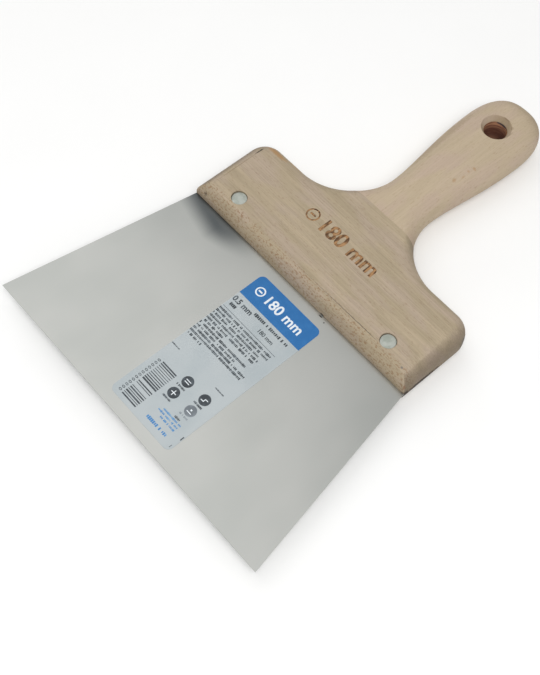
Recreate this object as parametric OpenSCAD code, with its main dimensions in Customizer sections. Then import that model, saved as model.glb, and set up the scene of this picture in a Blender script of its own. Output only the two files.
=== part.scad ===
// Wide taping knife: a thin stainless blade held in the kerf of a cross-grain beech head
// by two cutler's rivets, with a lengthwise-grain beech grip dowelled to the head.
// The tool lies flat, with the working edge at -Y, the grip end at +Y and the labelled face up.
// The origin is at the bottom centre of the bounding box.

/* [Blade] */
// Width of the working edge
edge_w = 180; // [160:1:200]
// Width of the blade where it enters the head
shoulder_w = 144.7; // [130:0.1:150]
// Length of blade in front of the head
exposed_l = 102.4; // [80:0.1:120]
// Thickness of the steel
blade_t = 0.5; // [0.4:0.1:0.6]

/* [Head] */
// Width of the head across the blade
head_w = 144.6; // [135:0.1:150]
// Depth of the head from its front edge to its shoulders
head_d = 45.9; // [42:0.1:52]
// Thickness of the head board
head_t = 19.4; // [18:0.1:21]
// Radius of the rear corners, seen from above
corner_r = 10.9; // [9:0.1:14]
// Size of the round-over on the front edges
front_round = 6; // [3:0.5:7]
// Size of the round-over on the side and rear edges
side_round = 8.3; // [5:0.1:8.5]
// Height of the saw kerf that takes the blade
kerf_h = 0.8; // [0.7:0.1:1.2]
// Depth of the saw kerf from the front of the head
kerf_d = 25; // [22:0.5:28]

/* [Grip] */
// Length of the whole tool
total_l = 262.8; // [250:0.1:280]
// Distance from the working edge to the glued seam between head and grip
seam_y = 158.5; // [155:0.5:162]
// Radius of the concave sweep from the shoulders into the neck
sweep_r = 31.1; // [26:0.1:32]
// Width of the neck at its narrowest
neck_w = 28; // [26:0.1:32]
// Width of the grip at its widest
grip_w = 38.6; // [36:0.1:42]
// Thickness of the grip at its thickest
grip_t = 22.6; // [22:0.1:24]
// Reach of the rounding on the edges of the grip, seen from above
grip_round = 13; // [10:0.1:13]
// Length of the rounded end, from the widest place to the tip
end_l = 25.6; // [25:0.1:34]
// Distance from the tip to the hang hole's axis
hole_from_tip = 25.5; // [25:0.1:30]
// Diameter of the hang hole
hole_d = 12; // [10:0.5:12.5]
// Diameter of the countersink around the hang hole
sink_d = 15.6; // [14:0.1:16.5]
// Depth of the countersink
sink_depth = 2.8; // [1:0.1:4]

/* [Rivets and dowels] */
// Distance between the two rivets
rivet_gap = 102.6; // [90:0.1:110]
// Distance from the front of the head to the rivets
rivet_back = 9.6; // [9:0.1:14]
// Diameter of each rivet's flat head
rivet_head_d = 7.7; // [7:0.1:8]
// Thickness of each rivet's head
rivet_head_t = 1.5; // [1:0.1:2]
// Depth of the rivet heads below the faces of the head
rivet_sink = 0.8; // [0.4:0.1:1.2]
// Outer diameter of the rivet tube
tube_d = 5; // [4.5:0.1:5.5]
// Diameter of the rivet pin that is pressed into the tube
pin_d = 3.2; // [2.8:0.1:3.4]
// Diameter of the hidden dowels
dowel_d = 8; // [6:0.5:8]
// Length of the hidden dowels
dowel_l = 40; // [30:1:42]
// Distance between the hidden dowels
dowel_gap = 14; // [12:0.5:15]

/* [Label] */
// Width of the label film
label_w = 41; // [30:1:60]
// Length of the label film along the blade
label_l = 90.4; // [70:0.1:94]
// Sideways offset of the label from the middle of the blade
label_x = 5; // [-10:0.5:10]
// Distance from the working edge to the label
label_y = 5.8; // [4:0.1:8]

/* [Hidden] */

bore_fn = 64;             // segments of the drilled holes and turned parts
arc_steps = 12;           // segments of a quarter circle in the outlines
round_steps = 8;          // segments of the round-over from the outer edge to the flat
grow_steps = 18;          // stations along the grip from the neck to its widest place
label_t = 0.1;            // thickness of the label film
label_r = 3;              // corner radius of the label film
kerf_gap = 0.5;           // room left behind the tang in the kerf
bore_gap = 0.1;           // radial room around the rivet tubes
seat_gap = 0.1;           // radial room around the rivet heads
glue_gap = 0.05;          // radial room for glue around the dowels
end_power = 2.45;         // squareness of the grip's rounded end, 2 is an ellipse
swell_power = 0.81;       // how early the grip swells behind the neck, 1 is even
cut = 1;                  // overrun of the cutting tools past a face

head_y = exposed_l;                       // front of the head
shoulder_y = head_y + head_d;             // rear edge of the shoulders
neck_y = shoulder_y + sweep_r;            // narrowest place
wide_y = total_l - end_l;                 // widest place of the grip
full_y = seam_y + 46;                     // where the grip reaches its full thickness
rivet_y = head_y + rivet_back;
hole_y = total_l - hole_from_tip;
taper = (edge_w - shoulder_w) / 2 / exposed_l;
tang_y = head_y + kerf_d - kerf_gap;
seat_z = head_t / 2 - rivet_sink - rivet_head_t;   // floor of each rivet's counterbore

function smooth(v) = let (c = max(0, min(1, v))) c * c * (3 - 2 * c);

// Reach, height and half thickness of the rounded edge at a distance y from the working edge
function blend(y) = smooth((y - shoulder_y) / (full_y - shoulder_y));
function half_t(y) = (head_t + (grip_t - head_t) * smooth((y - seam_y) / (full_y - seam_y))) / 2;
function reach(y) = side_round + (grip_round - side_round) * blend(y);
function height(y) = half_t(y) * (2 * side_round / head_t * (1 - blend(y)) + blend(y));

// An outline station is [x, y, inward x, inward y] on the +X side. The inward direction is
// square to the axis at the seam, so that head and grip meet on one plane.
sweep_x = neck_w / 2 + sweep_r;
seam_angle = asin((neck_y - seam_y) / sweep_r);    // where the seam crosses the sweep
function sweep_station(a, turn) =
    [sweep_x - sweep_r * cos(a), neck_y - sweep_r * sin(a), -cos(turn), -sin(turn)];
function corner_station(a) =
    [head_w / 2 - corner_r * (1 - cos(a)), shoulder_y - corner_r * (1 - sin(a)), -cos(a), -sin(a)];

head_stations = concat(
    [[head_w / 2, head_y, -1, front_round / side_round]],
    [for (i = [0 : arc_steps]) corner_station(90 * i / arc_steps)],
    [for (i = [0 : arc_steps])
        let (u = i / arc_steps) sweep_station(90 + (seam_angle - 90) * u, 90 * (1 - u))]
);

// The grip swells from the neck to its widest place, u runs from 0 to 1
function swell_station(u) =
    [neck_w / 2 + (grip_w - neck_w) / 4 * (1 - cos(180 * pow(u, swell_power))),
     neck_y + (wide_y - neck_y) * u, -1, 0];

// The rounded end is a superellipse, with its inward normal from the gradient
function end_station(a) =
    let (c = pow(cos(a), 2 / end_power), s = pow(sin(a), 2 / end_power),
         gx = pow(c, end_power - 1) / (grip_w / 2), gy = pow(s, end_power - 1) / end_l,
         n = sqrt(gx * gx + gy * gy))
    [grip_w / 2 * c, wide_y + end_l * s, -gx / n, -gy / n];

grip_stations = concat(
    [for (i = [0 : arc_steps]) sweep_station(seam_angle * (1 - i / arc_steps), 0)],
    [for (i = [1 : grow_steps - 1]) swell_station(i / grow_steps)],
    [for (i = [0 : 2 * arc_steps]) end_station(90 * i / (2 * arc_steps))]
);

// A rounded edge at one station, from the lower flat round to the upper flat
function edge_profile(p) =
    let (r = reach(p[1]), h = height(p[1]), t = half_t(p[1]), n = 2 * round_steps + 1)
    [for (k = [0 : n])
        let (up = k > round_steps, j = up ? k - round_steps - 1 : round_steps - k,
             a = 90 * j / round_steps, off = r * (1 - cos(a)), z = t - h + h * sin(a))
        [p[0] + p[2] * off, p[1] + p[3] * off, up ? z : -z]];

function mirror_x(c) = [for (v = c) [-v[0], v[1], v[2]]];

// Closes a row of edge profiles and its mirror image into one solid. The profiles run from
// the front to the back on +X and forward again on -X, and the skin closes the ring.
module board(stations, has_tip) {
    right = [for (p = stations) edge_profile(p)];
    n = len(right);
    last = has_tip ? n - 2 : n - 1;
    cols = concat(right, [for (i = [last : -1 : 0]) mirror_x(right[i])]);
    count = len(cols);
    rows = len(cols[0]);
    points = [for (c = cols) each c];
    function id(i, k) = i * rows + k;
    skin = [for (i = [0 : count - 1], k = [0 : rows - 2])
        let (next = (i + 1) % count)
        [id(i, k), id(i, k + 1), id(next, k + 1), id(next, k)]];
    polyhedron(points, concat(skin, flats(count, rows, n, has_tip)), convexity = 6);
}

// The flats: whole faces on the level head, and strips across the grip, which changes height
function flats(count, rows, n, has_tip) =
    has_tip
    ? [for (i = [0 : n - 2])
          let (j = count - 1 - i, a = i * rows, b = (i + 1) * rows, c = (j - 1) * rows, d = j * rows)
          each i == n - 2
          ? [[d, a, b], [b + rows - 1, a + rows - 1, d + rows - 1]]
          : [[d, a, b, c], [c + rows - 1, b + rows - 1, a + rows - 1, d + rows - 1]]]
    : [[for (i = [0 : count - 1]) i * rows],
       [for (i = [count - 1 : -1 : 0]) i * rows + rows - 1]];

// Moves a part from the middle of the working edge into the frame of the whole tool
module place() {
    translate([0, -total_l / 2, grip_t / 2]) children();
}

module at_rivet(side) {
    translate([side * rivet_gap / 2, rivet_y, 0]) children();
}

module at_dowel(side) {
    translate([side * dowel_gap / 2, seam_y, 0]) rotate([90, 0, 0]) children();
}

module blade() {
    tang_w = edge_w - 2 * taper * tang_y;
    color("silver") place() difference() {
        translate([0, 0, -blade_t / 2]) linear_extrude(blade_t)
            polygon([[-edge_w / 2, 0], [edge_w / 2, 0], [tang_w / 2, tang_y], [-tang_w / 2, tang_y]]);
        for (side = [-1, 1])
            at_rivet(side) cylinder(d = tube_d + 2 * bore_gap, h = 4 * blade_t, center = true, $fn = bore_fn);
    }
}

module head_block() {
    color("burlywood") place() difference() {
        board(head_stations, false);
        translate([-head_w, head_y - cut, -kerf_h / 2]) cube([2 * head_w, kerf_d + cut, kerf_h]);
        for (side = [-1, 1]) {
            at_rivet(side) cylinder(d = tube_d + 2 * bore_gap, h = head_t + cut, center = true, $fn = bore_fn);
            for (end = [0, 1]) at_rivet(side) mirror([0, 0, end]) translate([0, 0, seat_z])
                cylinder(d = rivet_head_d + 2 * seat_gap, h = head_t, $fn = bore_fn);
            at_dowel(side) cylinder(d = dowel_d + 2 * glue_gap, h = dowel_l / 2 + cut, $fn = bore_fn);
        }
    }
}

module grip() {
    flare = (sink_d - hole_d) * cut / sink_depth;    // what the cone widens over its overrun
    color("wheat") place() difference() {
        board(grip_stations, true);
        translate([0, hole_y, 0]) {
            cylinder(d = hole_d, h = grip_t + 2 * cut, center = true, $fn = bore_fn);
            for (end = [0, 1]) mirror([0, 0, end]) translate([0, 0, grip_t / 2 - sink_depth])
                cylinder(d1 = hole_d, d2 = sink_d + flare, h = sink_depth + cut, $fn = bore_fn);
        }
        for (side = [-1, 1]) at_dowel(side) translate([0, 0, -dowel_l / 2 - cut])
            cylinder(d = dowel_d + 2 * glue_gap, h = dowel_l / 2 + cut, $fn = bore_fn);
    }
}

module dowel(side) {
    color("tan") place() at_dowel(side) cylinder(d = dowel_d, h = dowel_l, center = true, $fn = bore_fn);
}

// The lower half of a cutler's rivet: a flat head and a tube through the blade
module rivet_tube(side) {
    fit_gap = 0.02;
    tube_top = seat_z - 0.5;
    color("lightgray") place() at_rivet(side) difference() {
        union() {
            translate([0, 0, -seat_z - rivet_head_t]) cylinder(d = rivet_head_d, h = rivet_head_t, $fn = bore_fn);
            translate([0, 0, -seat_z - rivet_head_t / 2])
                cylinder(d = tube_d, h = seat_z + rivet_head_t / 2 + tube_top, $fn = bore_fn);
        }
        translate([0, 0, -seat_z]) cylinder(d = pin_d + 2 * fit_gap, h = 2 * seat_z, $fn = bore_fn);
    }
}

// The upper half: a flat head and a pin pressed into the tube
module rivet_pin(side) {
    pin_end = seat_z - 1;
    color("lightgray") place() at_rivet(side) {
        translate([0, 0, seat_z]) cylinder(d = rivet_head_d, h = rivet_head_t, $fn = bore_fn);
        translate([0, 0, -pin_end]) cylinder(d = pin_d, h = pin_end + seat_z + rivet_head_t / 2, $fn = bore_fn);
    }
}

module label() {
    color("aliceblue") place() translate([label_x - label_w / 2, label_y, blade_t / 2])
        linear_extrude(label_t) union() {
            translate([label_r, 0]) square([label_w - 2 * label_r, label_l]);
            translate([0, label_r]) square([label_w, label_l - 2 * label_r]);
            for (x = [label_r, label_w - label_r], y = [label_r, label_l - label_r])
                translate([x, y]) circle(r = label_r, $fn = bore_fn);
        }
}

blade();
head_block();
grip();
dowel(-1);  // dowel_left
dowel(1);  // dowel_right
rivet_tube(-1);  // rivet_tube_left
rivet_tube(1);  // rivet_tube_right
rivet_pin(-1);  // rivet_pin_left
rivet_pin(1);  // rivet_pin_right
label();
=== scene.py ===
"""A wide taping knife: a satin stainless blade in a cross-grain beech head, with a long-grain
beech grip, two aluminium rivets and a printed label film, laid on a pale floor.

Shapes are worked out in millimetres from the middle of the working edge, at the middle of the
blade's thickness: X runs across the blade, Y towards the grip and Z up from the labelled face.
to_frame() takes them into the frame of the whole tool, in metres.
"""
import math
import random

import bmesh
import bpy
from mathutils import Matrix, Vector


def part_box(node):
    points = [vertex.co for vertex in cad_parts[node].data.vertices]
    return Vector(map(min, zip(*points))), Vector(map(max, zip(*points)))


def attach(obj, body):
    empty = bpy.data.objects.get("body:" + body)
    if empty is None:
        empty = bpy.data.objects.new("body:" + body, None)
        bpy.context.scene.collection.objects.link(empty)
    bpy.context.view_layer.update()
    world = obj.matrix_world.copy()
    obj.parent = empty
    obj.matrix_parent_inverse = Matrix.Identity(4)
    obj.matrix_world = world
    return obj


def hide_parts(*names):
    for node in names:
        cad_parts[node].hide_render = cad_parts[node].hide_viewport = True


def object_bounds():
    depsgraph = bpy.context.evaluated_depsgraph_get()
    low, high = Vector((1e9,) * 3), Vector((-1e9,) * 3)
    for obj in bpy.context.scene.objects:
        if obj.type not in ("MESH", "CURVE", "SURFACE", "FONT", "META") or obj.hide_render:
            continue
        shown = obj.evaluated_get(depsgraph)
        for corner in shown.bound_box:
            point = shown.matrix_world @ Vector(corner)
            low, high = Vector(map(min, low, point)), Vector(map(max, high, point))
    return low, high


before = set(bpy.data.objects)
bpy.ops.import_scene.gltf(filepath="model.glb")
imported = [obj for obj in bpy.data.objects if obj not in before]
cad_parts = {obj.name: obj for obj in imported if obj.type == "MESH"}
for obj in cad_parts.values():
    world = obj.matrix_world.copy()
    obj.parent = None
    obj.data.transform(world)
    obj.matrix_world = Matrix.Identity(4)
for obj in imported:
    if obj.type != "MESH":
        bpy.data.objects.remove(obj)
cad_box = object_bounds()
scene = bpy.context.scene

# ---------------------------------------------------------------- sizes from the frame
MM = 0.001
total_l = (cad_box[1].y - cad_box[0].y) / MM
grip_t = (cad_box[1].z - cad_box[0].z) / MM
ORIGIN = Vector((0, -total_l / 2, grip_t / 2))    # the middle of the working edge, in the frame


def tool_box(node):
    """A CAD node's lowest and highest corner, in the tool's millimetres."""
    return [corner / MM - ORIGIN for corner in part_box(node)]


def to_frame(mesh):
    """Moves a mesh from the tool's millimetres into the frame."""
    mesh.transform(Matrix.Scale(MM, 4) @ Matrix.Translation(ORIGIN))


blade_low, blade_high = tool_box("blade")
head_low, head_high = tool_box("head_block")
label_low, label_high = tool_box("label")
pin_low, pin_high = tool_box("rivet_pin_right")
dowel_low, dowel_high = tool_box("dowel_right")

edge_w = 2 * blade_high.x
blade_t = blade_high.z - blade_low.z
tang_y = blade_high.y
head_w = 2 * head_high.x
head_t = 2 * head_high.z
head_y = head_low.y
seam_y = head_high.y
rivet_x = (pin_low.x + pin_high.x) / 2
rivet_y = (pin_low.y + pin_high.y) / 2
rivet_head_r = (pin_high.x - pin_low.x) / 2
rivet_top = pin_high.z
dowel_x = (dowel_low.x + dowel_high.x) / 2
dowel_r = (dowel_high.x - dowel_low.x) / 2
dowel_half = (dowel_high.y - dowel_low.y) / 2

# ---------------------------------------------------------------- sizes the boxes don't give, mm
SHOULDER_W = 144.7      # blade width at the head
HEAD_D = 45.9           # front of the head to its shoulders
CORNER_R = 10.9         # rear corners, from above
FRONT_ROUND = 6.0       # round-over of the front edges
SIDE_ROUND = 8.3        # round-over of the side and rear edges
KERF_H = 0.8
KERF_D = 25.0
SWEEP_R = 31.1          # concave sweep from the shoulders into the neck
NECK_W = 28.0
GRIP_W = 38.6           # widest place of the grip; its box is widest at the seam
GRIP_ROUND = 13.0       # reach of the rounding on the grip's edges
END_L = 25.6            # widest place of the grip to its tip
END_POWER = 2.45        # squareness of the rounded end
SWELL_POWER = 0.81      # how early the grip swells behind the neck
GROW_L = 46.0           # length over which the grip reaches its full thickness
HOLE_FROM_TIP = 25.5
HOLE_R = 6.0
SINK_R = 7.8            # countersink of the hang hole
SINK_DEPTH = 2.8
RIVET_HEAD_T = 1.5
TUBE_R = 2.5
PIN_R = 1.6
SEAT_GAP = 0.1          # room around a rivet's head
BORE_GAP = 0.1          # room around a rivet's tube
PIN_GAP = 0.02          # room around a rivet's pin in its tube
DOWEL_GAP = 0.05        # room around a dowel, for the glue
EASE = 0.06             # broken edge of sheet metal and film

shoulder_y = head_y + HEAD_D
neck_y = shoulder_y + SWEEP_R
wide_y = total_l - END_L
full_y = seam_y + GROW_L
hole_y = total_l - HOLE_FROM_TIP
seat_z = rivet_top - RIVET_HEAD_T
taper = (edge_w - SHOULDER_W) / 2 / head_y
sweep_x = NECK_W / 2 + SWEEP_R
seam_angle = math.asin((neck_y - seam_y) / SWEEP_R)
QUARTER = math.pi / 2

ARC_STEPS = 28          # stations around a quarter circle of the outline
ROUND_STEPS = 12        # steps of a round-over from the outer edge to the flat
GROW_STEPS = 44         # stations along the swelling grip
TURN_STEPS = 72         # steps around turned and drilled shapes
CORE_R = 0.02           # radius at which a turned profile ends, just off its axis


# ---------------------------------------------------------------- building meshes
def put(obj):
    """Puts an object into the scene and hands it back."""
    scene.collection.objects.link(obj)
    return obj


def closed_object(name, bm):
    """An object from a closed mesh, its doubles merged and its faces turned outwards."""
    bmesh.ops.remove_doubles(bm, verts=bm.verts, dist=1e-5)
    bmesh.ops.recalc_face_normals(bm, faces=bm.faces)
    mesh = bpy.data.meshes.new(name)
    bm.to_mesh(mesh)
    bm.free()
    return put(bpy.data.objects.new(name, mesh))


def skin(rings):
    """A tube through a row of closed rings of points. Returns its mesh and its rows of vertices."""
    bm = bmesh.new()
    rows = [[bm.verts.new(p) for p in ring] for ring in rings]
    for lower, upper in zip(rows, rows[1:]):
        for i, j in zip(range(len(lower)), [*range(1, len(lower)), 0]):
            bm.faces.new((lower[i], lower[j], upper[j], upper[i]))
    return bm, rows


def solid(name, rings):
    """The same tube with its first and last ring filled."""
    bm, rows = skin(rings)
    bm.faces.new(rows[0])
    bm.faces.new(rows[-1])
    return closed_object(name, bm)


def turned(name, profile, at=(0, 0, 0), axis="Z"):
    """A lathe-turned solid from its (radius, height) profile, stood at a place along an axis."""
    angles = [2 * math.pi * i / TURN_STEPS for i in range(TURN_STEPS)]
    rings = [[(r * math.cos(a), r * math.sin(a), z) for a in angles] for r, z in profile]
    obj = solid(name, rings)
    if axis == "Y":
        obj.data.transform(Matrix.Rotation(-QUARTER, 4, "X"))
    obj.data.transform(Matrix.Translation(at))
    return obj


def slab(name, outline, low, high, ease=EASE):
    """A flat piece with broken edges: an outline in X and Y, between two heights."""
    xs, ys = zip(*outline)
    mid = ((min(xs) + max(xs)) / 2, (min(ys) + max(ys)) / 2)
    half = ((max(xs) - min(xs)) / 2, (max(ys) - min(ys)) / 2)
    shrink = [1 - ease / h for h in half]

    def ring(inset, z):
        """The outline at one height, full size or drawn in by the broken edge."""
        sx, sy = shrink if inset else (1, 1)
        return [(mid[0] + (x - mid[0]) * sx, mid[1] + (y - mid[1]) * sy, z) for x, y in outline]

    return solid(name, [ring(True, low), ring(False, low + ease),
                        ring(False, high - ease), ring(True, high)])


def rounded(x0, y0, x1, y1, radii, steps=8):
    """A rectangle's outline with a radius for each corner, from lower left and anticlockwise."""
    corners = ((x0, y0, 2), (x1, y0, 3), (x1, y1, 0), (x0, y1, 1))
    points = []
    for (x, y, turn), r in zip(corners, radii):
        cx = x + (r if x == x0 else -r)
        cy = y + (r if y == y0 else -r)
        for i in range(steps + 1 if r else 1):
            a = QUARTER * (turn + i / steps)
            points.append((cx + r * math.cos(a), cy + r * math.sin(a)))
    return points


def plain_mesh(obj):
    """What an object's modifiers make of it, as a mesh of its own. The object is removed."""
    evaluated = obj.evaluated_get(bpy.context.evaluated_depsgraph_get())
    mesh = bpy.data.meshes.new_from_object(evaluated)
    obj.modifiers.clear()
    bpy.data.objects.remove(obj)
    return mesh


def carved(obj, cutters):
    """Cuts solids out of an object. Each cut face takes its cutter's material."""
    for cutter in cutters:
        cut = obj.modifiers.new(cutter.name, "BOOLEAN")
        cut.object = cutter
        cut.operation = "DIFFERENCE"
        cut.solver = "EXACT"
        cut.material_mode = "TRANSFER"
    name = obj.name
    mesh = plain_mesh(obj)
    for cutter in cutters:
        bpy.data.objects.remove(cutter)
    return put(bpy.data.objects.new(name, mesh))


def smoothed(obj, sharp_deg=32):
    """Smooth shading with crisp corners, and large flats that stay flat."""
    obj.data.shade_smooth()
    obj.data.set_sharp_from_angle(angle=math.radians(sharp_deg))
    weighted = obj.modifiers.new("flats", "WEIGHTED_NORMAL")
    weighted.keep_sharp = True
    name = obj.name
    return put(bpy.data.objects.new(name, plain_mesh(obj)))


def joined(name, objects):
    """One object from several that share a material."""
    bm = bmesh.new()
    for obj in objects:
        bm.from_mesh(obj.data)
    mesh = bpy.data.meshes.new(name)
    bm.to_mesh(mesh)
    bm.free()
    for material in objects[0].data.materials:
        mesh.materials.append(material)
    for obj in objects:
        bpy.data.objects.remove(obj)
    return put(bpy.data.objects.new(name, mesh))


def finished(obj, slot_name, *replaced):
    """Takes a piece into the frame, fixes it to the tool and stands it in for its CAD nodes."""
    to_frame(obj.data)
    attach(obj, "root")
    if replaced:
        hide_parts(*replaced)


# ---------------------------------------------------------------- node trees
def add(tree, kind, inputs=None, **settings):
    """Adds a node with its settings. An input is a value, a socket, or a node's first output."""
    made = tree.nodes.new(kind)
    for name, value in settings.items():
        setattr(made, name, value)
    for key, value in (inputs or {}).items():
        if isinstance(value, bpy.types.Node):
            value = next(s for s in value.outputs if s.enabled)
        if isinstance(value, bpy.types.NodeSocket):
            tree.links.new(value, made.inputs[key])
        else:
            made.inputs[key].default_value = value
    return made


def linear(hex_colour):
    """An sRGB hex colour as linear red, green, blue and alpha."""
    parts = [int(hex_colour[i:i + 2], 16) / 255 for i in (1, 3, 5)]
    return [p / 12.92 if p <= 0.04045 else ((p + 0.055) / 1.055) ** 2.4 for p in parts] + [1]


def new_material(name):
    """A node material's tree and its shader."""
    material = bpy.data.materials.new(name)
    material.use_nodes = True
    return material, material.node_tree, material.node_tree.nodes["Principled BSDF"]


def tool_place(tree):
    """A point's place in the tool's millimetres."""
    place = add(tree, "ShaderNodeTexCoord").outputs["Object"]
    offset = [-v for v in ORIGIN]
    return add(tree, "ShaderNodeMapping", {"Vector": place, "Location": offset, "Scale": [1 / MM] * 3})


def stretched_noise(tree, place, size, **inputs):
    """Noise whose grains have the given size in millimetres along each axis."""
    scaled = add(tree, "ShaderNodeMapping", {"Vector": place, "Scale": [1 / s for s in size]})
    return add(tree, "ShaderNodeTexNoise", {"Vector": scaled, "Scale": 1.0, **inputs})


def between(tree, value, low, high, to_low=0.0, to_high=1.0):
    """A value taken smoothly from one range to another."""
    return add(tree, "ShaderNodeMapRange",
               {"Value": value, "From Min": low, "From Max": high, "To Min": to_low, "To Max": to_high},
               interpolation_type="SMOOTHSTEP")


MIX_A, MIX_B = 6, 7     # a colour mix node's two colour sockets


def tinted(tree, share, colour, other, blend="MIX"):
    """Two colours mixed by a share."""
    return add(tree, "ShaderNodeMix", {0: share, MIX_A: colour, MIX_B: other},
               data_type="RGBA", blend_type=blend)


# Marks of use and painted shade: their tone, middle and half size along X, Y and Z, and how strong they are
HEAD_MARKS = (
    ("#ac7d44", (-60, 144.0, 8.4), (8, 1.9, 4), 0.62),              # orange-brown stain, rear left edge
    ("#b98f61", (-49, 146.2, 8), (7, 1.2, 4), 0.35),
    ("#2a2119", (-66.3, 138.4, 9.2), (0.55, 3.4, 2.0), 0.9),        # chip in the rear left edge
    ("#6f5840", (-66.2, 124, 9.2), (0.3, 16, 1), 0.45),             # painted shade along the crease where the left round-over begins
    ("#55555c", (64.8, 107.2, 9.6), (0.8, 0.6, 1.5), 0.6),          # bluish fleck by the right corner
    ("#2a2018", (72.0, 103.4, -0.6), (1.6, 2.2, 3.6), 0.9),         # painted shade at the foot of the front right corner, by the blade
    ("#7d4f30", (71.2, 103.0, 5), (0.7, 0.8, 4.5), 0.55),
    ("#2a2018", (72.2, 114.5, -1.8), (2.5, 14, 2.9), 0.92),         # painted shade of the kerf's gap and the shaded underside, along the right side
    ("#46505c", (70.8, 141.5, 1), (2.5, 4, 4), 0.45),               # darker blue-grey patch at the rear right corner
    ("#2c2a28", (18.7, 102.4, 0.9), (1.3, 0.7, 0.8), 0.95),         # specks where the blade goes in
    ("#40362c", (-66, 103.4, 5), (1.4, 1.0, 1.6), 0.6),
)
GRIP_MARKS = (
    ("#a0733f", (10.4, 210.7, 10.5), (1.1, 1.0, 3), 0.42),          # four brown flecks in a row
    ("#a0733f", (9.6, 207.2, 10.5), (0.7, 0.7, 3), 0.36),
    ("#a0733f", (10.1, 203.1, 10.5), (0.5, 1.5, 3), 0.3),
    ("#a0733f", (8.7, 198.0, 10.5), (1.1, 1.3, 3), 0.42),
    ("#93805f", (-14.6, 205, 8), (3.6, 40, 5), 0.42),               # painted shade on the grip's left flank, browner
    ("#7a664c", (0.3, hole_y + 7.7, 11.1), (3.0, 0.4, 0.6), 0.5),   # rim of the countersink
    ("#7a664c", (5.6, hole_y + 5.4, 11.1), (1.3, 1.3, 0.5), 0.4),
    ("#7a664c", (7.7, hole_y + 0.8, 11.1), (0.4, 3.0, 0.6), 0.45),
)
BLADE_MARKS = (
    ("#2b2926", (18.9, 101.4, 0.25), (1.2, 0.35, 0.6), 0.9),        # specks in front of the head
    ("#2b2926", (22.4, 100.3, 0.25), (0.45, 0.45, 0.6), 0.8),
)
BORE_MARKS = (
    ("#39404a", (-0.4, hole_y + 5.8, 8.1), (4.4, 2.0, 1.5), 0.9),   # painted shade: a blue-black crescent under the rim, on the far wall
    ("#c08c60", (4.2, hole_y + 4.2, 6.4), (2.0, 2.0, 1.8), 0.75),   # patch the drill only browned
)


def with_marks(tree, place, colour, marks):
    """Lays ragged spots of other tones over a colour, each fading out at about its half size."""
    rough_edge = stretched_noise(tree, place, (1.2, 1.2, 1.2), Detail=3.0)
    for tone, middle, half, strength in marks:
        off = add(tree, "ShaderNodeVectorMath", {0: place, 1: middle}, operation="SUBTRACT")
        off = add(tree, "ShaderNodeVectorMath", {0: off, 1: half}, operation="DIVIDE")
        far = add(tree, "ShaderNodeVectorMath", {0: off}, operation="LENGTH").outputs["Value"]
        ragged = add(tree, "ShaderNodeMath", {0: far, 1: rough_edge}, operation="ADD")
        share = between(tree, ragged, 0.95, 1.6, strength, 0.0)
        colour = tinted(tree, share, colour, linear(tone))
    return colour


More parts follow.
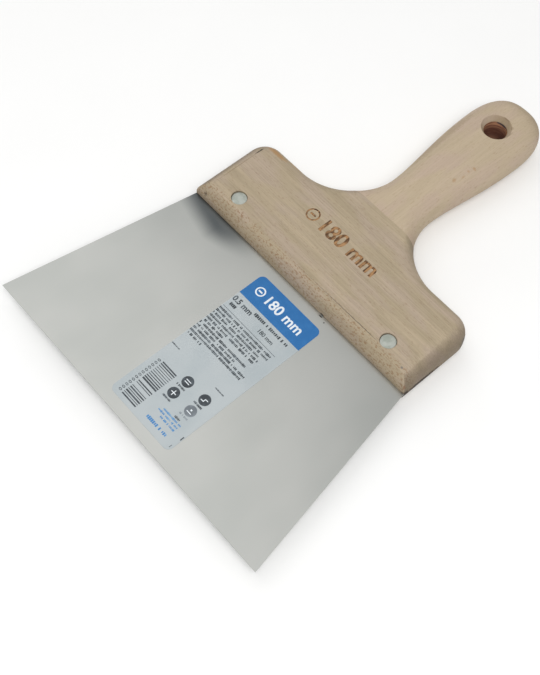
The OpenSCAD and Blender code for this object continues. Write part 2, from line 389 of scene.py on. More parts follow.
def beech(name, grain_across, tones, lines, marks=()):
    """Bare sanded beech: long fine pores and soft bands of tone along the grain, a few short dark
    rays, darker ends and, where the head's front is rounded over, coarse brown flecks.
    grain_across says that the grain runs along X and not along Y, and lines how strongly the
    pores and bands show."""
    light, dark, blush, fleck_tone, end_tone = tones
    material, tree, shader = new_material(name)
    place = tool_place(tree)
    axes = add(tree, "ShaderNodeSeparateXYZ", {0: place}).outputs
    along, aside = (axes[0], axes[1]) if grain_across else (axes[1], axes[0])
    grain = add(tree, "ShaderNodeCombineXYZ", {0: along, 1: aside, 2: axes[2]})

    # growth rings, 2.6 mm apart, around a heart 70 mm below and 96 mm aside, gently waving
    wave = stretched_noise(tree, grain, (70, 30, 30), Detail=2.0)
    bent = add(tree, "ShaderNodeVectorMath", {0: grain, 1: add(
        tree, "ShaderNodeVectorMath", {0: wave.outputs["Color"], 1: (0, 9, 9)}, operation="MULTIPLY")})
    spoke = add(tree, "ShaderNodeVectorMath", {0: bent, 1: (0, 1, 1)}, operation="MULTIPLY")
    radius = add(tree, "ShaderNodeVectorMath", {0: spoke, 1: (0, 96, -70)}, operation="DISTANCE")
    turns = add(tree, "ShaderNodeMath", {0: radius.outputs["Value"], 1: 2.6}, operation="DIVIDE")
    year = add(tree, "ShaderNodeMath", {0: turns}, operation="FRACT")
    late = add(tree, "ShaderNodeMath", {0: between(tree, year, 0.2, 0.9), 1: between(
        tree, year, 0.9, 1.0, 1.0, 0.0)}, operation="MULTIPLY")

    # bands of tone 4 mm wide, pinkish clouds over centimetres, and pores as long lines. Real
    # pores are under 0.1 mm wide and these 0.55 mm, so that they show.
    band = stretched_noise(tree, grain, (70, 4, 4), Detail=2.0)
    cloud = stretched_noise(tree, grain, (24, 9, 9), Detail=2.0)
    streak = stretched_noise(tree, grain, (24, 0.55, 0.55), Detail=3.0, Roughness=0.65)
    # rays: 2 mm along the grain, 0.4 mm wide and 2 mm deep, drawn a little wider than real
    ray = stretched_noise(tree, grain, (2.0, 0.4, 2.2), Detail=1.0)
    fleck = between(tree, ray, 0.60, 0.72)

    colour = tinted(tree, between(tree, band, 0.35, 0.65, 0.0, lines), linear(light), linear(dark))
    colour = tinted(tree, between(tree, cloud, 0.42, 0.66, 0.0, 0.8), colour, linear(blush))
    colour = tinted(tree, add(tree, "ShaderNodeMath", {0: late, 1: 0.22 * lines}, operation="MULTIPLY"),
                    colour, linear(dark))
    darker = between(tree, streak, 0.3, 0.72, 1 + 0.07 * lines, 1 - 0.11 * lines)
    colour = add(tree, "ShaderNodeVectorMath", {0: colour.outputs[2], 3: darker}, operation="SCALE")
    colour = tinted(tree, add(tree, "ShaderNodeMath", {0: fleck, 1: 0.28}, operation="MULTIPLY"),
                    colour, linear(fleck_tone))
    if grain_across:
        coarse = stretched_noise(tree, place, (1.3, 0.8, 0.8), Detail=2.0, Roughness=0.6)
        front = between(tree, axes[1], head_y + 4.5, head_y + 7.5, 0.62, 0.0)
        spots = add(tree, "ShaderNodeMath", {0: between(tree, coarse, 0.53, 0.63), 1: front},
                    operation="MULTIPLY")
        colour = tinted(tree, spots, colour, linear("#84633f"))
    facing = add(tree, "ShaderNodeSeparateXYZ", {0: add(tree, "ShaderNodeNewGeometry").outputs["Normal"]})
    end = add(tree, "ShaderNodeMath", {0: facing.outputs[0 if grain_across else 1]}, operation="ABSOLUTE")
    colour = tinted(tree, between(tree, end, 0.15, 0.9), colour, linear(end_tone), "MULTIPLY")
    colour = with_marks(tree, place, colour, marks)

    tree.links.new(colour.outputs[2], shader.inputs["Base Color"])
    rough = between(tree, streak, 0.2, 0.8, 0.62, 0.74)
    tree.links.new(rough.outputs[0], shader.inputs["Roughness"])
    shader.inputs["Specular IOR Level"].default_value = 0.3
    relief = add(tree, "ShaderNodeMath", {0: streak, 1: fleck}, operation="SUBTRACT")
    bump = add(tree, "ShaderNodeBump", {"Strength": 0.3, "Distance": 0.05 * MM, "Height": relief})
    tree.links.new(bump.outputs[0], shader.inputs["Normal"])
    return material


def burnt_beech():
    """Laser-burnt beech: brown, with darker passes of the beam across the strokes.
    The passes are 0.1 mm apart on the real one and 0.9 mm here, so that they show."""
    material, tree, shader = new_material("laser_burnt_beech")
    place = tool_place(tree)
    passes = stretched_noise(tree, place, (0.9, 5, 6), Detail=2.0, Roughness=0.6)
    patch = stretched_noise(tree, place, (4, 4, 4), Detail=2.0)
    colour = tinted(tree, between(tree, passes, 0.38, 0.60), linear("#543a25"), linear("#a88057"))
    colour = tinted(tree, between(tree, patch, 0.45, 0.7, 0.0, 0.4), colour, linear("#b08d66"))
    tree.links.new(colour.outputs[2], shader.inputs["Base Color"])
    shader.inputs["Roughness"].default_value = 0.85
    bump = add(tree, "ShaderNodeBump", {"Strength": 0.5, "Distance": 0.1 * MM, "Height": passes})
    tree.links.new(bump.outputs[0], shader.inputs["Normal"])
    return material


def scorched_and_shaded_bore():
    """Beech scorched by a dull drill: reddish brown rings near the mouths, and painted shade that makes it
    darker brown deeper inside.
    """
    material, tree, shader = new_material("scorched_and_shaded_bore_beech")
    place = tool_place(tree)
    height = add(tree, "ShaderNodeSeparateXYZ", {0: place}).outputs[2]
    height = add(tree, "ShaderNodeMath", {0: height}, operation="ABSOLUTE")
    rings = stretched_noise(tree, place, (9, 9, 0.9), Detail=3.0)
    # painted shade: darker the deeper into the bore
    colour = tinted(tree, between(tree, height, 1.5, 8.0), linear("#7a5242"), linear("#cc9876"))
    colour = tinted(tree, between(tree, rings, 0.42, 0.60, 0.0, 0.7), colour, linear("#653a2b"))
    colour = with_marks(tree, place, colour, BORE_MARKS)
    tree.links.new(colour.outputs[2], shader.inputs["Base Color"])
    shader.inputs["Roughness"].default_value = 0.6
    bump = add(tree, "ShaderNodeBump", {"Strength": 0.5, "Distance": 0.15 * MM, "Height": rings})
    tree.links.new(bump.outputs[0], shader.inputs["Normal"])
    return material


def split_wood():
    """The inside of a hairline split, painted dark grey-blue as the shade in it."""
    material, tree, shader = new_material("split_in_beech")
    dirt = stretched_noise(tree, tool_place(tree), (2, 2, 2), Detail=2.0)
    colour = tinted(tree, dirt, linear("#5c616b"), linear("#807c77"))
    tree.links.new(colour.outputs[2], shader.inputs["Base Color"])
    shader.inputs["Roughness"].default_value = 0.9
    return material


def satin_stainless():
    """Cold-rolled stainless strip with a fine satin grind along the tool: soft reflections, a
    faint lengthwise lay, a few cloudy wipe marks and a dark painted reflection of the head at its left.
    The grinding lines are about 0.05 mm apart on real strip and 0.25 mm here, so that they show."""
    material, tree, shader = new_material("satin_stainless_steel")
    place = tool_place(tree)
    lay = stretched_noise(tree, place, (0.25, 60, 60), Detail=3.0, Roughness=0.7)
    wipe = stretched_noise(tree, place, (38, 52, 50), Detail=2.0)
    axes = add(tree, "ShaderNodeSeparateXYZ", {0: place}).outputs
    colour = tinted(tree, between(tree, wipe, 0.3, 0.7), linear("#c3c4c0"), linear("#bbbdb9"))
    # painted reflection: the head's dark front mirrored in the steel, along the head's front at the left,
    # deepest 50 mm from the middle
    aside = add(tree, "ShaderNodeMath", {0: axes[0], 1: 50.0}, operation="ADD")
    aside = add(tree, "ShaderNodeMath", {0: aside}, operation="ABSOLUTE")
    lean = add(tree, "ShaderNodeMath", {0: aside, 1: -0.22, 2: axes[1]}, operation="MULTIPLY_ADD")
    fade_in = between(tree, lean, 85, 98.5)
    right = between(tree, axes[0], -46, -21, 1.0, 0.0)
    dark_reflection = add(tree, "ShaderNodeMath", {0: right, 1: fade_in}, operation="MULTIPLY")
    cloudy = between(tree, stretched_noise(tree, place, (26, 14, 14), Detail=1.0), 0.3, 0.6, 0.85, 1.0)
    dark_reflection = add(tree, "ShaderNodeMath", {0: dark_reflection, 1: cloudy}, operation="MULTIPLY")
    # a slight painted darkening of the same reflection on the left, from the middle of the blade to the head
    reflection_fade_y = between(tree, axes[1], 58, 82, 0.0, 0.07)
    reflection_fade_x = between(tree, axes[0], -40, -15, 1.0, 0.0)
    soft_tone = add(tree, "ShaderNodeMath", {0: reflection_fade_y, 1: reflection_fade_x}, operation="MULTIPLY")
    dark_reflection = add(tree, "ShaderNodeMath", {0: dark_reflection, 1: soft_tone}, operation="MAXIMUM")
    # the dark tone of the painted reflection
    colour = tinted(tree, dark_reflection, colour, linear("#5e6365"))
    colour = with_marks(tree, place, colour, BLADE_MARKS)
    tree.links.new(colour.outputs[2], shader.inputs["Base Color"])
    shader.inputs["Metallic"].default_value = 1.0
    rough = between(tree, lay, 0.25, 0.75, 0.30, 0.37)
    tree.links.new(rough.outputs[0], shader.inputs["Roughness"])
    bump = add(tree, "ShaderNodeBump", {"Strength": 0.05, "Distance": 0.01 * MM, "Height": lay})
    tree.links.new(bump.outputs[0], shader.inputs["Normal"])
    return material


def dull_aluminium():
    """Drawn aluminium, dulled by handling: pale grey, a little pitted and scuffed."""
    material, tree, shader = new_material("dull_aluminium")
    place = tool_place(tree)
    pits = stretched_noise(tree, place, (0.5, 0.5, 0.5), Detail=3.0)
    soft_tone = stretched_noise(tree, place, (3, 3, 3), Detail=2.0)
    colour = tinted(tree, between(tree, soft_tone, 0.35, 0.7), linear("#c6cac2"), linear("#b2b8ae"))
    tree.links.new(colour.outputs[2], shader.inputs["Base Color"])
    shader.inputs["Metallic"].default_value = 0.85
    tree.links.new(between(tree, pits, 0.3, 0.7, 0.42, 0.62).outputs[0], shader.inputs["Roughness"])
    bump = add(tree, "ShaderNodeBump", {"Strength": 0.2, "Distance": 0.03 * MM, "Height": pits})
    tree.links.new(bump.outputs[0], shader.inputs["Normal"])
    return material


def label_film():
    """Thin milky polypropylene film: the steel shows through it, a little bluer and paler."""
    material, tree, shader = new_material("milky_polypropylene_film")
    soft_tone = stretched_noise(tree, tool_place(tree), (18, 26, 26), Detail=2.0)
    colour = tinted(tree, between(tree, soft_tone, 0.35, 0.7), linear("#cad2d5"), linear("#c1cbcf"))
    tree.links.new(colour.outputs[2], shader.inputs["Base Color"])
    shader.inputs["Roughness"].default_value = 0.32
    shader.inputs["Alpha"].default_value = 0.72
    bump = add(tree, "ShaderNodeBump", {"Strength": 0.1, "Distance": 0.1 * MM, "Height": soft_tone})
    tree.links.new(bump.outputs[0], shader.inputs["Normal"])
    return material


def printing_ink(name, tone, worn):
    """Screen-printed ink: even, a little uneven in density over a few millimetres."""
    material, tree, shader = new_material(name)
    density = stretched_noise(tree, tool_place(tree), (4, 4, 4), Detail=3.0)
    colour = tinted(tree, between(tree, density, 0.4, 0.75), linear(tone), linear(worn))
    tree.links.new(colour.outputs[2], shader.inputs["Base Color"])
    shader.inputs["Roughness"].default_value = 0.38
    return material


# The tones of a beech: light and dark bands, pinkish clouds, rays, and the tint of end grain
HEAD_TONES = ("#af9f86", "#a5967d", "#ae9d8b", "#7a5b43", "#c6c4c4")
GRIP_TONES = ("#bbaa91", "#b2a187", "#b9a593", "#8f7250", "#e2ddd6")
head_wood = beech("beech_grain_across", True, HEAD_TONES, 1.0, HEAD_MARKS)
grip_wood = beech("beech_grain_along", False, GRIP_TONES, 0.5, GRIP_MARKS)
dowel_wood = beech("beech_dowel_rod", False, GRIP_TONES, 1.0)
burnt = burnt_beech()
# the drill's scorch, with painted shade deeper in the bore
scorched = scorched_and_shaded_bore()
split = split_wood()
steel = satin_stainless()
aluminium = dull_aluminium()
film = label_film()
blue_ink = printing_ink("blue_ink", "#1c67a5", "#266eac")
pale_blue_ink = printing_ink("pale_blue_ink", "#357db8", "#5c9bcb")
white_ink = printing_ink("white_ink", "#e6ecf0", "#d6dee4")
dark_ink = printing_ink("dark_ink", "#30373c", "#565f66")
grey_ink = printing_ink("grey_ink", "#6b7278", "#8a9198")


# ---------------------------------------------------------------- wooden boards
def smooth(v):
    """An even rise from 0 to 1 with soft ends."""
    v = min(1, max(0, v))
    return v * v * (3 - 2 * v)


def edge_profile(x, y, in_x, in_y):
    """The rounded edge at one station of the outline, from the lower flat to the upper flat."""
    swell = smooth((y - shoulder_y) / (full_y - shoulder_y))
    half_t = (head_t + (grip_t - head_t) * smooth((y - seam_y) / GROW_L)) / 2
    reach = SIDE_ROUND + (GRIP_ROUND - SIDE_ROUND) * swell
    height = half_t * (2 * SIDE_ROUND / head_t * (1 - swell) + swell)
    upper = []
    for k in range(ROUND_STEPS + 1):
        a = QUARTER * k / ROUND_STEPS
        off = reach * (1 - math.cos(a))
        upper.append((x + in_x * off, y + in_y * off, half_t - height + height * math.sin(a)))
    lower = [(px, py, -pz) for px, py, pz in reversed(upper)]
    return lower + upper


def sweep_station(a, turn):
    """A place on the concave sweep, with its inward direction."""
    return (sweep_x - SWEEP_R * math.cos(a), neck_y - SWEEP_R * math.sin(a),
            -math.cos(turn), -math.sin(turn))


def head_stations():
    """Stations of the head's right side, from its front over the shoulder to the seam."""
    yield (head_w / 2, head_y, -1, FRONT_ROUND / SIDE_ROUND)
    for i in range(ARC_STEPS + 1):
        a = QUARTER * i / ARC_STEPS
        yield (head_w / 2 - CORNER_R * (1 - math.cos(a)), shoulder_y - CORNER_R * (1 - math.sin(a)),
               -math.cos(a), -math.sin(a))
    for i in range(ARC_STEPS + 1):
        u = i / ARC_STEPS
        yield sweep_station(QUARTER + (seam_angle - QUARTER) * u, QUARTER * (1 - u))


def grip_stations():
    """Stations of the grip's right side, from the seam along the swell to the tip."""
    for i in range(ARC_STEPS + 1):
        yield sweep_station(seam_angle * (1 - i / ARC_STEPS), 0)
    for i in range(1, GROW_STEPS):
        u = i / GROW_STEPS
        bulge = 1 - math.cos(math.pi * u ** SWELL_POWER)
        yield (NECK_W / 2 + (GRIP_W - NECK_W) / 4 * bulge, neck_y + (wide_y - neck_y) * u, -1, 0)
    for i in range(2 * ARC_STEPS):
        yield end_station(QUARTER * i / (2 * ARC_STEPS))
    yield (0, total_l, 0, -1)


def end_station(a):
    """A place on the superellipse of the rounded end, with its inward normal."""
    c = math.cos(a) ** (2 / END_POWER)
    s = math.sin(a) ** (2 / END_POWER)
    slope = Vector((c ** (END_POWER - 1) / (GRIP_W / 2), s ** (END_POWER - 1) / END_L)).normalized()
    return (GRIP_W / 2 * c, wide_y + END_L * s, -slope.x, -slope.y)


def mirrored(profile):
    """The same profile on the left side."""
    return [(-x, y, z) for x, y, z in profile]


def head_blank():
    """The head before it is sawn and drilled."""
    right = [edge_profile(*s) for s in head_stations()]
    columns = right + [mirrored(p) for p in reversed(right)]
    obj = solid("head_board", list(zip(*columns)))
    obj.data.materials.append(head_wood)
    return obj


def grip_blank():
    """The grip before it is drilled. Its flats change height, so they are strips across it."""
    right = [edge_profile(*s) for s in grip_stations()]
    columns = right + [mirrored(p) for p in reversed(right[:-1])]
    bm, rows = skin(list(zip(*columns)))
    last = len(columns) - 1
    for row in (rows[0], rows[-1]):
        for i in range(len(right) - 1):
            corners = [row[i], row[i + 1], row[last - i - 1], row[last - i]]
            bm.faces.new(list(dict.fromkeys(corners)))
    obj = closed_object("grip_body", bm)
    obj.data.materials.append(grip_wood)
    return obj


def plain_box(name, low, high):
    """A cuboid between two corners."""
    (x0, y0, z0), (x1, y1, z1) = low, high
    outline = [(x0, y0), (x1, y0), (x1, y1), (x0, y1)]
    return solid(name, [[(x, y, z) for x, y in outline] for z in (z0, z1)])


def lettering(name, words, size, weight, left, base, low, high):
    """Upright lettering as closed solids, from its left end and its base line."""
    curve = bpy.data.curves.new(name, "FONT")
    curve.body = words
    curve.size = size
    curve.offset = weight
    curve.extrude = (high - low) / 2
    mesh = plain_mesh(put(bpy.data.objects.new(name, curve)))
    start = min(v.co.x for v in mesh.vertices)
    mesh.transform(Matrix.Translation((left - start, base, (low + high) / 2)))
    bm = bmesh.new()
    bm.from_mesh(mesh)
    return closed_object(name, bm)


def flat_ring(name, x, y, outer, inner, low, high):
    """A flat ring, as a closed solid."""
    angles = [2 * math.pi * i / TURN_STEPS for i in range(TURN_STEPS)]
    corners = ((inner, low), (outer, low), (outer, high), (inner, high), (inner, low))
    rings = [[(x + r * math.cos(a), y + r * math.sin(a), z) for a in angles] for r, z in corners]
    return closed_object(name, skin(rings)[0])


def ring_and_bar(x, y, r, stroke, half_l, half_w, low, high):
    """The plain sign in front of a size: a ring, and a bar across its middle."""
    return [flat_ring("sign_ring", x, y, r, r - stroke, low, high),
            plain_box("sign_bar", (x - half_l, y - half_w, low), (x + half_l, y + half_w, high))]


BURN_DEPTH = 0.25
MARK_BASE = 128.6       # base line of the burnt size mark
MARK_LEFT = -13.5       # left end of its lettering
MARK_HEIGHT = 11.4      # letter size that gives capitals about 8 mm high
MARK_WEIGHT = 0.12      # how far the strokes are thickened; more makes them cross
MARK_SHIFT = 0.4        # the lettering is cut twice, this far apart, for heavier strokes
MARK_SIGN = (-21, MARK_BASE + 3.8, 3.6, 0.8, 1.6, 0.5)    # ring_and_bar's place and sizes


def size_mark_cutters():
    """A plain size mark burnt into the head: a ring with a bar, and the blade's width."""
    low, high = head_t / 2 - BURN_DEPTH, head_t / 2 + 1
    words = [lettering("mark_words", "180 mm", MARK_HEIGHT, MARK_WEIGHT, MARK_LEFT + shift, MARK_BASE,
                       low - shift / 10, high) for shift in (0, MARK_SHIFT)]
    cutters = [*ring_and_bar(*MARK_SIGN, low, high), *words]
    for cutter in cutters:
        cutter.data.materials.append(burnt)
    return cutters


SPLIT_START, SPLIT_END = -4, 48     # the split's ends, across the tool
SPLIT_BACK = 5.25                   # from the head's front to the split's left end
SPLIT_DRIFT = 0.5                   # how much further back its right end is
SPLIT_DEPTH = 0.5
SPLIT_STEPS = 34


def split_cutter():
    """A hairline split along the grain where the front round-over begins, ragged and tapering."""
    wander = random.Random(11)
    near, far = [], []
    for i in range(SPLIT_STEPS + 1):
        u = i / SPLIT_STEPS
        x = SPLIT_START + (SPLIT_END - SPLIT_START) * u
        y = head_y + SPLIT_BACK + SPLIT_DRIFT * u + wander.uniform(-0.09, 0.09)
        half = 0.02 + 0.09 * smooth(u * 1.2) * (1 - smooth((u - 0.88) / 0.12))
        half *= wander.uniform(0.7, 1.2)
        near.append((x, y - half))
        far.append((x, y + half))
    outline = near + far[::-1]
    heights = (head_t / 2 - SPLIT_DEPTH, head_t / 2 + 1)
    cutter = solid("split", [[(x, y, z) for x, y in outline] for z in heights])
    cutter.data.materials.append(split)
    return cutter


def rivet_bores():
    """The stepped holes for both rivets, with broken rims, from both faces of the head."""
    r_seat = rivet_head_r + SEAT_GAP
    r_bore = TUBE_R + BORE_GAP
    rim = 0.18
    top = head_t / 2
    upper = [(r_bore, seat_z), (r_seat, seat_z), (r_seat, top - rim), (r_seat + rim, top),
             (r_seat + rim + 1, top + 1)]
    profile = [(r, -z) for r, z in reversed(upper)] + upper
    return [turned("rivet_bore", profile, (side * rivet_x, rivet_y, 0)) for side in (-1, 1)]


def dowel_bores(y0, y1):
    """The blind holes for both dowels, between two places along the tool."""
    middle = (y0 + y1) / 2
    half = (y1 - y0) / 2
    r = dowel_r + DOWEL_GAP
    return [turned("dowel_bore", [(r, -half), (r, half)], (side * dowel_x, middle, 0), "Y")
            for side in (-1, 1)]


def hang_hole_cutter():
    """The hang hole with its countersinks, whose corners are broken a little. Only the straight
    bore is scorched and painted darker with shade deeper in."""
    top = grip_t / 2
    foot = top - SINK_DEPTH
    upper = [(HOLE_R, 0.0), (HOLE_R, foot - 0.25), (HOLE_R + 0.06, foot), (HOLE_R + 0.3, foot + 0.3),
             (SINK_R - 0.2, top - 0.28), (SINK_R + 0.05, top - 0.05), (SINK_R + 0.4, top + 0.15),
             (SINK_R + 1, top + 1)]
    profile = [(r, -z) for r, z in reversed(upper[1:])] + upper
    hole = turned("hang_hole", profile, (0, hole_y, 0))
    hole.data.materials.append(scorched)
    hole.data.materials.append(grip_wood)
    for face in hole.data.polygons:
        if (face.center - Vector((0, hole_y, face.center.z))).length > HOLE_R:
            face.material_index = 1
    return hole


def make_head():
    """The head board with its kerf, bores, split and burnt mark."""
    kerf = plain_box("kerf", (-head_w, head_y - 1, -KERF_H / 2), (head_w, head_y + KERF_D, KERF_H / 2))
    cutters = [kerf, *rivet_bores(), *dowel_bores(seam_y - dowel_half, seam_y + 1),
               split_cutter(), *size_mark_cutters()]
    for cutter in cutters:
        if not cutter.data.materials:
            cutter.data.materials.append(head_wood)
    head = smoothed(carved(head_blank(), cutters))
    finished(head, "head_beech", "head_block")


def make_grip():
    """The grip with its hang hole and the far half of the dowel bores."""
    cutters = [hang_hole_cutter(), *dowel_bores(seam_y - 1, seam_y + dowel_half)]
    for cutter in cutters[1:]:
        cutter.data.materials.append(grip_wood)
    grip = smoothed(carved(grip_blank(), cutters))
    finished(grip, "grip_beech", "grip")


# ---------------------------------------------------------------- blade and rivets
def make_blade():
    """The flared blade, with its tang in the kerf and a hole for each rivet."""
    tang_w = edge_w - 2 * taper * tang_y
    outline = [(-edge_w / 2, 0), (edge_w / 2, 0), (tang_w / 2, tang_y), (-tang_w / 2, tang_y)]
    blade = slab("blade_plate", outline, -blade_t / 2, blade_t / 2)
    blade.data.materials.append(steel)
    holes = [turned("blade_hole", [(TUBE_R + BORE_GAP, -1), (TUBE_R + BORE_GAP, 1)],
                    (side * rivet_x, rivet_y, 0)) for side in (-1, 1)]
    for hole in holes:
        hole.data.materials.append(steel)
    blade = smoothed(carved(blade, holes))
    finished(blade, "blade_steel", "blade")


def node_tree(name, sockets):
    """An empty geometry tree with its named inputs. Returns it with its input and output nodes."""
    tree = bpy.data.node_groups.new(name, "GeometryNodeTree")
    for label, kind in sockets:
        tree.interface.new_socket(label, in_out="INPUT", socket_type="NodeSocket" + kind)
    tree.interface.new_socket("Geometry", in_out="OUTPUT", socket_type="NodeSocketGeometry")
    return tree, add(tree, "NodeGroupInput").outputs


def end_tree(tree, instances, material):
    """Turns instances into real faces with their material, and ends the tree."""
    real = add(tree, "GeometryNodeRealizeInstances", {0: instances})
    shown = add(tree, "GeometryNodeSetMaterial", {"Geometry": real, "Material": material})
    add(tree, "NodeGroupOutput", {0: shown})
    return tree


def grown(name, tree, base=None, **inputs):
    """Runs a geometry tree once with its named inputs. What it makes becomes a plain object."""
    holder = put(bpy.data.objects.new(name, base or bpy.data.meshes.new(name)))
    modifier = holder.modifiers.new(name, "NODES")
    modifier.node_group = tree
    for item in tree.interface.items_tree:
        if item.in_out == "INPUT" and item.name in inputs:
            modifier[item.identifier] = inputs[item.name]
    return put(bpy.data.objects.new(name, plain_mesh(holder)))


def pair_tree():
    """Stands two copies of a turned part on either side of the middle."""
    tree, given = node_tree("pair", (("Part", "Geometry"), ("Gap", "Float"), ("Finish", "Material")))
    half = add(tree, "ShaderNodeMath", {0: given["Gap"], 1: -0.5}, operation="MULTIPLY")
    line = add(tree, "GeometryNodeMeshLine", {
        "Count": 2,
        "Start Location": add(tree, "ShaderNodeCombineXYZ", {0: half}),
        "Offset": add(tree, "ShaderNodeCombineXYZ", {0: given["Gap"]}),
    })
    both = add(tree, "GeometryNodeInstanceOnPoints", {"Points": line, "Instance": given["Part"]})
    return end_tree(tree, both, given["Finish"])


def eased_head(r, low, high, ease=0.22, crown=0.05):
    """The profile of a flat rivet head, from its rim's foot to its slightly crowned middle."""
    arc = [(r - ease * (1 - math.cos(QUARTER * k / 4)), high - crown - ease * (1 - math.sin(QUARTER * k / 4)))
           for k in range(5)]
    return [(r, low)] + arc + [(r * 0.5, high - 0.25 * crown), (CORE_R, high)]


def make_rivets(pair):
    """Both cutler's rivets: pins from above, pressed into tubes from below."""
    pin_end = seat_z - 1
    shank = [(CORE_R, -pin_end), (PIN_R - 0.2, -pin_end), (PIN_R, 0.2 - pin_end), (PIN_R, seat_z)]
    pin = turned("pin", shank + eased_head(rivet_head_r, seat_z, rivet_top))
    inside = PIN_R + PIN_GAP
    tube_top = seat_z - 0.5
    outside = [(r, -z) for r, z in reversed(eased_head(rivet_head_r, seat_z, rivet_top))]
    tube = turned("tube", outside + [(TUBE_R, -seat_z), (TUBE_R, tube_top), (inside, tube_top),
                                     (inside, -seat_z), (CORE_R, -seat_z)])
    for part, name, nodes in ((pin, "rivet_pins", ("rivet_pin_left", "rivet_pin_right")),
                              (tube, "rivet_tubes", ("rivet_tube_left", "rivet_tube_right"))):
        both = grown(name, pair, part.data, Gap=2 * rivet_x, Finish=aluminium)
        both.data.transform(Matrix.Translation((0, rivet_y, 0)))
        bpy.data.objects.remove(part)
        finished(smoothed(both), "rivet_aluminium", *nodes)


# ---------------------------------------------------------------- label
INK_T = 0.015
HEADER_L = 14.6         # length of the blue header along the tool
MARGIN_LEFT = 0.4       # from the film's edges to the rule and the small print
MARGIN_RIGHT = 4.5
TEXT_TOP = 69.6         # middle of the first row of small print
TEXT_STEP = 1.96
TEXT_ENDS = (21, 21, 17, 20, 18, -1, 17, 12, 21, 20, -5)    # where each row ends
CAPTION_DROP = 3.9      # from the middle of a round sign to its caption
DISC_R = 2.9
# The round signs: middle, ink, and the strokes on them as boxes around that middle
ROUND_SIGNS = (
    (5.2, 33.7, "dark", ((-1.5, 0.4, 1.5, 0.8), (-1.5, -0.8, 1.5, -0.4))),      # two bars
    (17, 33.7, "dark", ((-1.6, -1.1, 0.2, -0.7), (-0.2, -0.7, 0.2, 0.6), (0.2, 0.3, 1.6, 0.7))),
    (5.2, 25.6, "dark", ((-1.5, -0.2, 1.5, 0.2), (-0.2, 0.2, 0.2, 1.5), (-0.2, -1.5, 0.2, -0.2))),
    (17, 25.6, "grey", ((-1.4, -1.2, 1.4, -0.8), (-0.4, 0.1, 0.4, 0.9))),       # a bar and a dot
)
# The blue rows under the signs: place along the tool, length and letter height
BLUE_ROWS = ((17.5, 12, 1.1), (15.8, 13.5, 1.1), (14, 10, 1.1), (10, 14, 1.9))
BLUE_END = 20.5
INKS = {"white": white_ink, "dark": dark_ink, "grey": grey_ink, "blue": pale_blue_ink}

film_top = label_high.z
ink_top = film_top + INK_T


def print_row_tree():
    """A row of unreadable print: upright dabs of ink of random size, with gaps between words."""
    tree, given = node_tree("print_row", (("Length", "Float"), ("Height", "Float"), ("Pitch", "Float"),
                                          ("Gaps", "Float"), ("Seed", "Int"), ("Ink", "Material")))
    count = add(tree, "ShaderNodeMath", {0: given["Length"], 1: given["Pitch"]}, operation="DIVIDE")
    line = add(tree, "GeometryNodeMeshLine", {
        "Count": count, "Offset": add(tree, "ShaderNodeCombineXYZ", {0: given["Pitch"]})})
    gap = add(tree, "FunctionNodeRandomValue", {"Probability": given["Gaps"], "Seed": given["Seed"]},
              data_type="BOOLEAN")
    words = add(tree, "GeometryNodeDeleteGeometry", {0: line, 1: gap.outputs[3]})
    wide = add(tree, "FunctionNodeRandomValue", {2: 0.55, 3: 0.9, "Seed": given["Seed"]})
    tall = add(tree, "FunctionNodeRandomValue", {2: 0.55, 3: 1.0, "Seed": given["Seed"], "ID": 7})
    size = add(tree, "ShaderNodeCombineXYZ", {
        0: add(tree, "ShaderNodeMath", {0: given["Pitch"], 1: wide.outputs[1]}, operation="MULTIPLY"),
        1: add(tree, "ShaderNodeMath", {0: given["Height"], 1: tall.outputs[1]}, operation="MULTIPLY"),
        2: INK_T,
    })
    dabs = add(tree, "GeometryNodeInstanceOnPoints", {
        "Points": words, "Instance": add(tree, "GeometryNodeMeshCube"), "Scale": size})
    return end_tree(tree, dabs, given["Ink"])


def bar_code_tree():
    """Bars across the label on an even pitch, of random thickness and with a few left out."""
    tree, given = node_tree("bar_code", (("Length", "Float"), ("Width", "Float"), ("Pitch", "Float"),
                                         ("Seed", "Int"), ("Ink", "Material")))
    count = add(tree, "ShaderNodeMath", {0: given["Length"], 1: given["Pitch"]}, operation="DIVIDE")
    line = add(tree, "GeometryNodeMeshLine", {
        "Count": count, "Offset": add(tree, "ShaderNodeCombineXYZ", {1: given["Pitch"]})})
    blank = add(tree, "FunctionNodeRandomValue", {"Probability": 0.12, "Seed": given["Seed"]},
                data_type="BOOLEAN")
    bars = add(tree, "GeometryNodeDeleteGeometry", {0: line, 1: blank.outputs[3]})
    thick = add(tree, "FunctionNodeRandomValue", {2: 0.22, 3: 0.75, "Seed": given["Seed"]})
    size = add(tree, "ShaderNodeCombineXYZ", {
        0: given["Width"],
        1: add(tree, "ShaderNodeMath", {0: given["Pitch"], 1: thick.outputs[1]}, operation="MULTIPLY"),
        2: INK_T,
    })
    drawn = add(tree, "GeometryNodeInstanceOnPoints", {
        "Points": bars, "Instance": add(tree, "GeometryNodeMeshCube"), "Scale": size})
    return end_tree(tree, drawn, given["Ink"])


def print_row(tree, x0, x1, y, height, ink, seed, gaps):
    """One row of print on the film, from x0 to x1 and centred on y."""
    pitch = 0.54 * height
    row = grown("print_row", tree, Length=x1 - x0, Height=height, Pitch=pitch, Gaps=gaps,
                Seed=seed, Ink=INKS[ink])
    row.data.transform(Matrix.Translation((x0, y, film_top + INK_T / 2)))
    return row


def nought_column(x, y):
    """A plain row of noughts beside the bar code, read along the tool."""
    digits = lettering("noughts", "0 0 0 0 0 0 0 0 0 0 0 0 0", 2.35, 0.03, 0, 0, film_top, ink_top)
    digits.data.transform(Matrix.Translation((x, y, 0)) @ Matrix.Rotation(QUARTER, 4, "Z"))
    return digits


def header_print():
    """On the blue header: the blade's width behind the ring-and-bar sign."""
    high = ink_top + INK_T
    return [lettering("size", "180 mm", 7.4, 0.16, -3.6, 86.3, ink_top, high),
            *ring_and_bar(-9, 89, 2.6, 0.7, 1.2, 0.4, ink_top, high)]


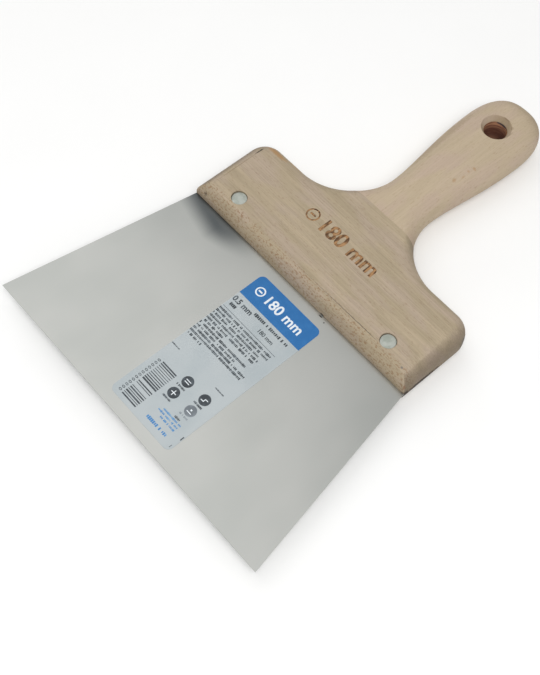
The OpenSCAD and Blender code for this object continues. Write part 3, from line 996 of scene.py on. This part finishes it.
def small_print(rows):
    """Under the header: the steel's thickness, the blade's width, a rule and rows of print."""
    left = label_low.x + MARGIN_LEFT
    right = label_high.x - MARGIN_RIGHT
    drawn = [
        lettering("thickness", "0.5 mm", 4.1, 0.12, left, 76.6, film_top, ink_top),
        lettering("width", "180 mm", 3.0, 0.045, 6.0, 73.9, film_top, ink_top),
        plain_box("rule", (left, 71.3, film_top), (right, 71.5, ink_top)),
        print_row(rows, left + 1.8, left + 6.6, 74.4, 1.8, "dark", 3, 0.0),
        print_row(rows, -1.5, 22.0, 79.2, 1.9, "dark", 5, 0.12),
    ]
    for i, end in enumerate(TEXT_ENDS):
        drawn.append(print_row(rows, left, end, TEXT_TOP - TEXT_STEP * i, 1.4, "dark", 20 + i, 0.16))
    return drawn


def lower_print(rows):
    """At the lower end: small captions, the column of noughts, ticks at the edge and a bar code."""
    code = grown("bars", bar_code_tree(), Length=25.5, Width=9.6, Pitch=1.15, Seed=4, Ink=dark_ink)
    code.data.transform(Matrix.Translation((-5.1, 8.6, film_top + INK_T / 2)))
    return [
        print_row(rows, -15.0, -9.5, 41.2, 0.7, "dark", 40, 0.0),
        print_row(rows, 15.5, 21.5, 41.2, 0.7, "dark", 41, 0.0),
        print_row(rows, 14.5, 18.5, 19.0, 1.3, "dark", 42, 0.0),
        nought_column(-10.9, 8.4),
        plain_box("tick", (24.6, 13.4, film_top), (25.1, 15.6, ink_top)),
        plain_box("tick", (24.0, 7.8, film_top), (24.3, 9.4, ink_top)),
        code,
    ]


def sign_disc(rows, x, y, ink):
    """A round sign's disc, and its caption."""
    return [turned("sign", [(DISC_R, film_top), (DISC_R, ink_top)], (x, y, 0)),
            print_row(rows, x - 2.6, x + 3.0, y - CAPTION_DROP, 1.1, ink, int(x + y), 0.1)]


def sign_strokes(x, y, strokes):
    """The white strokes on a round sign."""
    return [plain_box("stroke", (x + x0, y + y0, ink_top), (x + x1, y + y1, ink_top + INK_T))
            for x0, y0, x1, y1 in strokes]


def make_label():
    """The film, its blue header, and one piece of print for each ink."""
    plate = slab("label_film", rounded(label_low.x, label_low.y, label_high.x, label_high.y, [3] * 4),
                 label_low.z, film_top, 0.03)
    plate.data.materials.append(film)
    finished(smoothed(plate), "label_film", "label")

    header = slab("label_header", rounded(label_low.x, label_high.y - HEADER_L, label_high.x,
                                          label_high.y, (0, 0, 3, 3)), film_top, ink_top, 0.004)
    header.data.materials.append(blue_ink)
    finished(header, "label_film")

    rows = print_row_tree()
    drawn = {"white": header_print(), "dark": small_print(rows) + lower_print(rows), "grey": []}
    for x, y, ink, strokes in ROUND_SIGNS:
        drawn[ink] += sign_disc(rows, x, y, ink)
        drawn["white"] += sign_strokes(x, y, strokes)
    drawn["blue"] = [print_row(rows, BLUE_END - length, BLUE_END, y, height, "blue", int(10 * y), 0.1)
                     for y, length, height in BLUE_ROWS]
    for ink, pieces in drawn.items():
        for obj in pieces:
            obj.data.materials.clear()
            obj.data.materials.append(INKS[ink])
        finished(joined("label_print_" + ink, pieces), "label_film")


make_blade()
make_head()
make_grip()
make_rivets(pair_tree())
make_label()
for node in ("dowel_left", "dowel_right"):
    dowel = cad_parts[node]
    dowel.data.materials.clear()
    dowel.data.materials.append(dowel_wood)


# ---------------------------------------------------------------- floor, light and camera
FLOOR_HALF = 6          # metres from the middle to the edge


def make_floor():
    """A seamless pale paper floor."""
    material, tree, shader = new_material("pale_paper")
    fibre = stretched_noise(tree, tool_place(tree), (40, 40, 40), Detail=4.0)
    colour = tinted(tree, fibre, linear("#fafaf9"), linear("#fdfdfc"))
    tree.links.new(colour.outputs[2], shader.inputs["Base Color"])
    shader.inputs["Roughness"].default_value = 0.9
    bm = bmesh.new()
    bmesh.ops.create_grid(bm, x_segments=1, y_segments=1, size=FLOOR_HALF)
    mesh = bpy.data.meshes.new("floor")
    bm.to_mesh(mesh)
    bm.free()
    mesh.materials.append(material)
    put(bpy.data.objects.new("floor", mesh))


def soft_light(name, at, size, brightness, target=(0, 0, 0)):
    """A square soft light in metres, turned to a target. Its face is as bright as stated."""
    light = bpy.data.lights.new(name, "AREA")
    light.size = size
    light.energy = brightness * math.pi * size ** 2
    obj = put(bpy.data.objects.new(name, light))
    obj.location = at
    obj.rotation_euler = (Vector(target) - Vector(at)).to_track_quat("-Z", "Y").to_euler()


ROOM_LIGHT = 0.42       # brightness of the room, where white paper in full light is 1


def make_light():
    """An even pale room, a key light high on the right, a low fill on the left and a wide soft
    box that the blade mirrors."""
    world = bpy.data.worlds.new("studio")
    scene.world = world
    world.use_nodes = True
    world.node_tree.nodes["Background"].inputs["Color"].default_value = (1, 1, 1, 1)
    world.node_tree.nodes["Background"].inputs["Strength"].default_value = ROOM_LIGHT
    soft_light("key", (0.45, -0.35, 1.1), 0.6, 8.0)
    soft_light("left_fill", (-1.2, 0.45, 0.35), 0.5, 3.0)
    soft_light("blade_soft_box", (-0.5, -0.05, 1.0), 0.9, 0.745)
    scene.view_settings.view_transform = "Standard"


AZIMUTH, ELEVATION, ROLL = 46.42, 61.51, -2.66      # degrees
CAMERA_AT = Vector((182.17, -85.55, 433.07))        # mm, from the middle of the working edge
LENS, SENSOR = 57.57, 36                            # mm


def make_camera():
    """The camera, from its place and its three angles."""
    a, e, roll = (math.radians(v) for v in (AZIMUTH, ELEVATION, ROLL))
    back = Vector((math.sin(a) * math.cos(e), -math.cos(a) * math.cos(e), math.sin(e)))
    level = Vector((math.cos(a), math.sin(a), 0))
    down = (-back).cross(level)
    right = math.cos(roll) * level + math.sin(roll) * down
    up = math.sin(roll) * level - math.cos(roll) * down
    camera = bpy.data.cameras.new("camera")
    camera.lens = LENS
    camera.sensor_width = SENSOR
    camera.clip_start = 0.01
    obj = put(bpy.data.objects.new("camera", camera))
    turn = Matrix((right, up, back)).transposed().to_4x4()
    obj.matrix_world = Matrix.Translation((CAMERA_AT + ORIGIN) * MM) @ turn
    scene.camera = obj


make_floor()
make_light()
make_camera()
